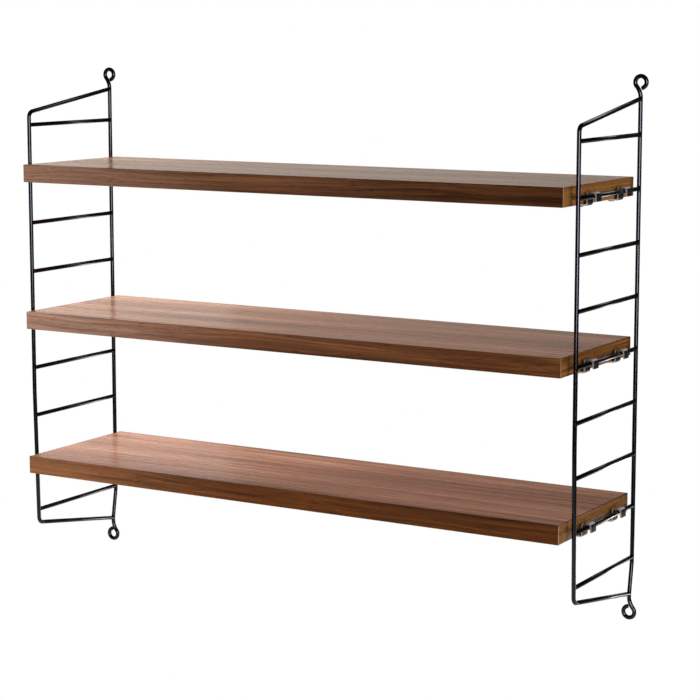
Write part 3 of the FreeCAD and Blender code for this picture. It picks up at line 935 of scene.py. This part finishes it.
# White surround: plain white to the eye, a low even light on the shelf, and a bright wall at the rear left
# that only reflections show; its height counts eightfold, so that it stays a low band
wall_way = Vector((-0.82, 0.57, 0.05)).normalized()
world = bpy.data.worlds.new("white_studio")
bpy.context.scene.world = world
world.use_nodes = True
tree = world.node_tree
ray = add_node(tree, "ShaderNodeLightPath")
mirrored = add_node(tree, "ShaderNodeMath", {"operation": "MAXIMUM"}, {
    0: ray.outputs["Is Glossy Ray"], 1: ray.outputs["Is Transmission Ray"]})
way = add_node(tree, "ShaderNodeTexCoord")
low_way = add_node(tree, "ShaderNodeVectorMath", {"operation": "MULTIPLY"}, {
    0: way.outputs["Generated"], 1: (1, 1, 8)})
flat_way = add_node(tree, "ShaderNodeVectorMath", {"operation": "NORMALIZE"}, {
    0: low_way.outputs["Vector"]})
to_wall = add_node(tree, "ShaderNodeVectorMath", {"operation": "DOT_PRODUCT"}, {
    0: flat_way.outputs["Vector"], 1: wall_way})
wall_light = add_node(tree, "ShaderNodeMapRange", None, {
    "Value": to_wall.outputs["Value"], "From Min": 0.55, "From Max": 0.95, "To Min": 0.03, "To Max": 1.7})
white = add_node(tree, "ShaderNodeBackground", None, {"Color": (1, 1, 1, 1), "Strength": 1})
wall = add_node(tree, "ShaderNodeBackground", None, {
    "Color": linear("#fff8ee"), "Strength": wall_light.outputs["Result"]})
fill = add_node(tree, "ShaderNodeBackground", None, {"Color": (1, 1, 1, 1), "Strength": 0.35})
cast = add_node(tree, "ShaderNodeMixShader", None, {
    0: mirrored.outputs["Value"], 1: fill.outputs["Background"], 2: wall.outputs["Background"]})
sky = add_node(tree, "ShaderNodeMixShader", None, {
    0: ray.outputs["Is Camera Ray"], 1: cast.outputs["Shader"], 2: white.outputs["Background"]})
tree.links.new(sky.outputs["Shader"], tree.nodes["World Output"].inputs["Surface"])

# Stripe cards shine on the coated wires alone, so that they leave no glare on boards and clips
coated_wire = bpy.data.collections.new("coated_wire")
for piece in bpy.context.scene.objects:
    if piece.type == "MESH" and piece.data.materials and piece.data.materials[0] == powder_coat:
        coated_wire.objects.link(piece)
lamps = (
    ("rear_left_softbox", (-0.55, 0.25, -0.08), (-0.45, -0.1, -0.4), (0.4, 0.5), 6.5, "#ffffff", "light"),
    ("front_left_softbox", (-0.6, -0.85, -0.25), (-0.2, -0.07, -0.3), (0.6, 0.6), 10, "#ffffff", "light"),
    ("right_softbox", (2.0, 0.5, -0.3), (0.3, -0.07, -0.25), (2.0, 1.2), 30, "#ffffff", "light"),
    ("rear_left_card", (-0.9, 0.6, -0.3), (-0.15, -0.07, -0.3), (0.6, 0.5), 0.3, "#ffffff", "sheen"),
    ("front_right_card", (1.75, -1.85, 0.1), (0.2, -0.07, -0.1), (1.2, 1.2), 110, "#e6e4ff", "stripe"),
    ("rear_top_card", (0.35, 1.3, 0.65), (0, -0.07, -0.2), (0.8, 0.5), 2.5, "#f2f1ff", "stripe"),
    ("rear_low_card", (0, 1.2, -0.85), (0.1, -0.07, -0.3), (1.2, 0.25), 3.5, "#ffffff", "stripe"))
for name, place, aim, size, power, colour, role in lamps:
    lamp = bpy.data.lights.new(name, "AREA")
    lamp.shape = "RECTANGLE"
    lamp.size, lamp.size_y = size
    lamp.energy = power
    lamp.color = linear(colour)[:3]
    holder = bpy.data.objects.new(name, lamp)
    holder.location = place
    holder.visible_diffuse = role == "light"
    holder.visible_glossy = role != "light"
    holder.rotation_euler = (Vector(aim) - Vector(place)).to_track_quat("-Z", "Y").to_euler()
    bpy.context.scene.collection.objects.link(holder)
    if role == "stripe":
        holder.light_linking.receiver_collection = coated_wire


# Camera
# The photograph's view: from the right of the front, a little above the top board, with a long lens whose
# focal length is given in pixels of the frame.
camera_place = (1.0243, -1.7392, 0.0482)
camera_pitch = math.radians(-7.858)
camera_yaw = math.radians(30.643)
focal_pixels = 2082.8
frame_pixels = 700
lens = bpy.data.cameras.new("camera")
lens.sensor_width = 36
lens.lens = focal_pixels / frame_pixels * lens.sensor_width
lens.shift_y = -0.05
lens.clip_start = 0.05
camera = bpy.data.objects.new("camera", lens)
camera.location = camera_place
camera.rotation_euler = (math.pi / 2 + camera_pitch, 0, camera_yaw)
bpy.context.scene.collection.objects.link(camera)
bpy.context.scene.camera = camera
bpy.context.scene.view_settings.view_transform = "Standard"

bpy.context.view_layer.update()
